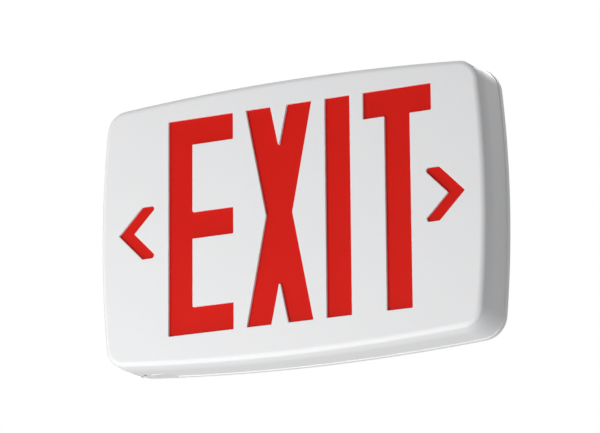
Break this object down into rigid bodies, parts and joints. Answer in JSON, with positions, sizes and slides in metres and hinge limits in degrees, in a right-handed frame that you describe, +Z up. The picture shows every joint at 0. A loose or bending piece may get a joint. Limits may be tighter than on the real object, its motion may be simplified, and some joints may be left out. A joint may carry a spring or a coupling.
{
  "type": "emergency exit light",
  "caption": "Wall-mounted emergency exit light: white bowed housing with a stencilled word and two arrows over a red panel, on a back plate with light strips, driver and battery.",
  "frame": {"origin": "centre of the wire entry, on the wall plane at the back of the sign", "axes": "+X to the reader's right, along the sign's width; +Z up; the front face looks along -Y and +Y points into the wall"},
  "size_m": [0.2984, 0.043, 0.198],
  "materials": {
    "housing_white": "fine satin moulded thermoplastic",
    "panel_red": "satin translucent red sheet",
    "plate_white": "fine satin moulded thermoplastic",
    "button_white": "satin moulded",
    "lens_smoke": "polished dark lens",
    "diode_red": "clear red epoxy",
    "board_green": "solder mask over glass laminate",
    "screw_zinc": "zinc plated",
    "core_steel": "stacked laminations",
    "coil_tape": "polyester tape",
    "can_sleeve": "shrink sleeve",
    "film_red": "dipped epoxy",
    "relay_case": "moulded",
    "component_black": "moulded epoxy",
    "resistor_tan": "lacquered",
    "terminal_green": "moulded",
    "connector_ivory": "moulded nylon",
    "battery_sleeve": "heat-shrunk sleeve",
    "lead_red": "wire insulation",
    "lead_black": "wire insulation",
    "retainer_steel": "spring steel"
  },
  "bodies": {
    "base": {"back_plate": "plate_white", "switch_body": "component_black", "status_diode": "diode_red", "status_holder": "component_black", "status_lens": "lens_smoke", "light_strip_upper": "board_green", "light_strip_lower": "board_green", "strip_diodes_upper": "diode_red", "strip_diodes_lower": "diode_red", "strip_resistors": "component_black", "strip_screws": "screw_zinc", "driver_board": "board_green", "driver_screws": "screw_zinc", "transformer_core": "core_steel", "transformer_coil": "coil_tape", "capacitors": "can_sleeve", "film_capacitor": "film_red", "transfer_relay": "relay_case", "diodes": "component_black", "resistors": "resistor_tan", "power_transistor": "component_black", "supply_terminal": "terminal_green", "terminal_screws": "screw_zinc", "battery_pack": "battery_sleeve", "battery_socket": "connector_ivory", "battery_plug": "connector_ivory", "battery_lead_upper": "lead_red", "battery_lead_lower": "lead_black", "strip_socket": "connector_ivory", "strip_supply_lead": "lead_red", "strip_link_lead": "lead_red"},
    "cover": {"front_housing": "housing_white", "red_panel": "panel_red", "panel_retainers": "retainer_steel"},
    "push": {"test_button": "button_white", "switch_plunger": "component_black"}
  },
  "joints": [
    {"name": "cover_release", "type": "slide", "parent": "base", "child": "cover", "axis": [0, -1, 0], "range_m": [0, 0.06]},
    {"name": "test_press", "type": "slide", "parent": "base", "child": "push", "axis": [0, 0, 1], "range_m": [0, 0.002], "stiffness_N_per_m": 800}
  ]
}
